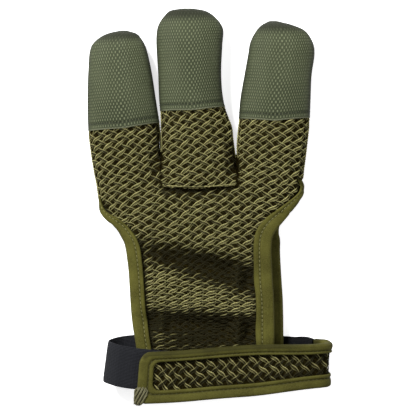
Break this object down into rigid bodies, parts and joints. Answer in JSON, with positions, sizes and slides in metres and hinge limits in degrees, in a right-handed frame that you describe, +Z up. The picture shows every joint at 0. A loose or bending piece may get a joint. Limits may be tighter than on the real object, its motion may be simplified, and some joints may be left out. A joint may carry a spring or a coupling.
{
  "type": "archery glove",
  "caption": "Open mesh archery glove with stiff fingertip caps, bound side openings and a hook and loop wrist strap on an elastic band, lying palm down.",
  "frame": {"origin": "middle of the glove's footprint on the table", "axes": "+Y from the wrist towards the fingertips, +X across the hand towards the strap's fold, +Z up off the table"},
  "size_m": [0.1222, 0.1964, 0.0224],
  "materials": {
    "mesh_fabric": "open olive mesh of round cords, matt with lighter ridges",
    "cap_fabric": "coarse coated grey-green weave, satin",
    "binding_tape": "soft olive binding tape, matt",
    "black_elastic": "ribbed black elastic webbing, matt",
    "hook_tape": "black hook and loop tape, matt"
  },
  "bodies": {
    "root": {"front_panel": "mesh_fabric", "back_panel": "mesh_fabric", "middle_finger_front": "mesh_fabric", "index_cap": "cap_fabric", "middle_cap": "cap_fabric", "ring_cap": "cap_fabric", "left_opening_binding": "binding_tape", "right_opening_binding": "binding_tape", "wrist_strap": "mesh_fabric", "strap_binding": "binding_tape", "elastic_band": "black_elastic", "hook_patch": "hook_tape"}
  },
  "joints": []
}
